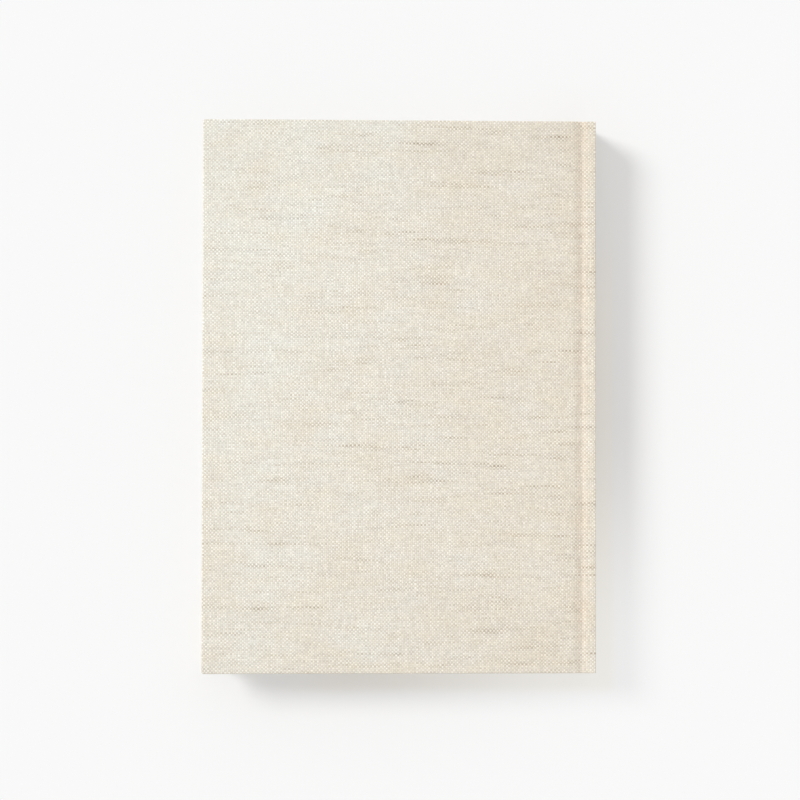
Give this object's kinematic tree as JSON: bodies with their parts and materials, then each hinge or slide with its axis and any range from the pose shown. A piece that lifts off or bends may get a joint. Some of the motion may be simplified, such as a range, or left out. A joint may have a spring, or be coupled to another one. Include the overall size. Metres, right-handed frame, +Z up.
{
  "type": "guest book",
  "caption": "Linen case-bound guest book with a flat spine, pressed joint grooves and sewn blank pages; both covers hinge open and pages turn with the back cover.",
  "frame": {"origin": "centre of the closed book's footprint, on the surface it lies on", "axes": "+X to the spine, +Y to the head, +Z up through the back cover"},
  "size_m": [0.1828, 0.257, 0.0249],
  "materials": {
    "linen_cloth": "matt plain-weave natural linen with slubs",
    "greyboard": "plain grey millboard",
    "mull_gauze": "open starched gauze",
    "endpaper": "matt ivory laid paper",
    "kraft_lining": "plain kraft paper",
    "cotton_tape": "woven cotton tape",
    "linen_thread": "waxed linen thread",
    "headband": "woven cotton band",
    "text_paper": "uncoated ivory paper"
  },
  "bodies": {
    "book_block": {"spine_board": "greyboard", "spine_cloth": "linen_cloth", "spine_mull": "mull_gauze", "spine_lining": "kraft_lining", "sewing_tapes": "cotton_tape", "sewing_thread": "linen_thread", "head_band": "headband", "tail_band": "headband", "back_joint_cloth": "linen_cloth", "back_endpaper_hinge": "endpaper", "front_joint_cloth": "linen_cloth", "front_endpaper_hinge": "endpaper", "section_01": "text_paper", "section_02": "text_paper", "section_03": "text_paper", "section_04": "text_paper", "section_05": "text_paper", "section_06": "text_paper"},
    "back_cover": {"back_cover_cloth": "linen_cloth", "back_board": "greyboard", "back_mull_flange": "mull_gauze", "back_pastedown": "endpaper"},
    "front_cover": {"front_cover_cloth": "linen_cloth", "front_board": "greyboard", "front_mull_flange": "mull_gauze", "front_pastedown": "endpaper"},
    "back_free_leaf": {"back_flyleaf": "endpaper"},
    "front_free_leaf": {"front_flyleaf": "endpaper"},
    "pages_07": {"section_07": "text_paper", "thread_07": "linen_thread"},
    "pages_08": {"section_08": "text_paper", "thread_08": "linen_thread"},
    "pages_09": {"section_09": "text_paper", "thread_09": "linen_thread"},
    "pages_10": {"section_10": "text_paper", "thread_10": "linen_thread"},
    "pages_11": {"section_11": "text_paper", "thread_11": "linen_thread"},
    "pages_12": {"section_12": "text_paper", "thread_12": "linen_thread"}
  },
  "joints": [
    {"name": "back_cover_hinge", "type": "hinge", "parent": "book_block", "child": "back_cover", "pos_m": [0.08707, 0, 0.02353], "axis": [0, 1, 0], "range_deg": [0, 179.5], "deforming": ["back_joint_cloth", "back_endpaper_hinge"]},
    {"name": "front_cover_hinge", "type": "hinge", "parent": "book_block", "child": "front_cover", "pos_m": [0.08707, 0, 0.0014], "axis": [0, -1, 0], "range_deg": [0, 179.5], "deforming": ["front_joint_cloth", "front_endpaper_hinge"]},
    {"name": "back_flyleaf_turn", "type": "hinge", "parent": "book_block", "child": "back_free_leaf", "pos_m": [0.08707, 0, 0.02353], "axis": [0, 1, 0], "range_deg": [0, 178.7]},
    {"name": "pages_12_turn", "type": "hinge", "parent": "book_block", "child": "pages_12", "pos_m": [0.08707, 0, 0.02353], "axis": [0, 1, 0], "range_deg": [0, 176.9]},
    {"name": "pages_11_turn", "type": "hinge", "parent": "book_block", "child": "pages_11", "pos_m": [0.08707, 0, 0.02353], "axis": [0, 1, 0], "range_deg": [0, 174.5]},
    {"name": "pages_10_turn", "type": "hinge", "parent": "book_block", "child": "pages_10", "pos_m": [0.08707, 0, 0.02353], "axis": [0, 1, 0], "range_deg": [0, 172.2]},
    {"name": "pages_09_turn", "type": "hinge", "parent": "book_block", "child": "pages_09", "pos_m": [0.08707, 0, 0.02353], "axis": [0, 1, 0], "range_deg": [0, 169.9]},
    {"name": "pages_08_turn", "type": "hinge", "parent": "book_block", "child": "pages_08", "pos_m": [0.08707, 0, 0.02353], "axis": [0, 1, 0], "range_deg": [0, 167.5]},
    {"name": "pages_07_turn", "type": "hinge", "parent": "book_block", "child": "pages_07", "pos_m": [0.08707, 0, 0.02353], "axis": [0, 1, 0], "range_deg": [0, 165.2]},
    {"name": "front_flyleaf_turn", "type": "hinge", "parent": "book_block", "child": "front_free_leaf", "pos_m": [0.08707, 0, 0.0014], "axis": [0, -1, 0], "range_deg": [0, 177.8]}
  ],
  "couplings": [
    {"joint": "back_flyleaf_turn", "follows": "back_cover_hinge", "ratio": 0.995},
    {"joint": "pages_12_turn", "follows": "back_cover_hinge", "ratio": 0.985},
    {"joint": "pages_11_turn", "follows": "back_cover_hinge", "ratio": 0.972},
    {"joint": "pages_10_turn", "follows": "back_cover_hinge", "ratio": 0.959},
    {"joint": "pages_09_turn", "follows": "back_cover_hinge", "ratio": 0.946},
    {"joint": "pages_08_turn", "follows": "back_cover_hinge", "ratio": 0.933},
    {"joint": "pages_07_turn", "follows": "back_cover_hinge", "ratio": 0.92},
    {"joint": "front_flyleaf_turn", "follows": "front_cover_hinge", "ratio": 0.99}
  ]
}
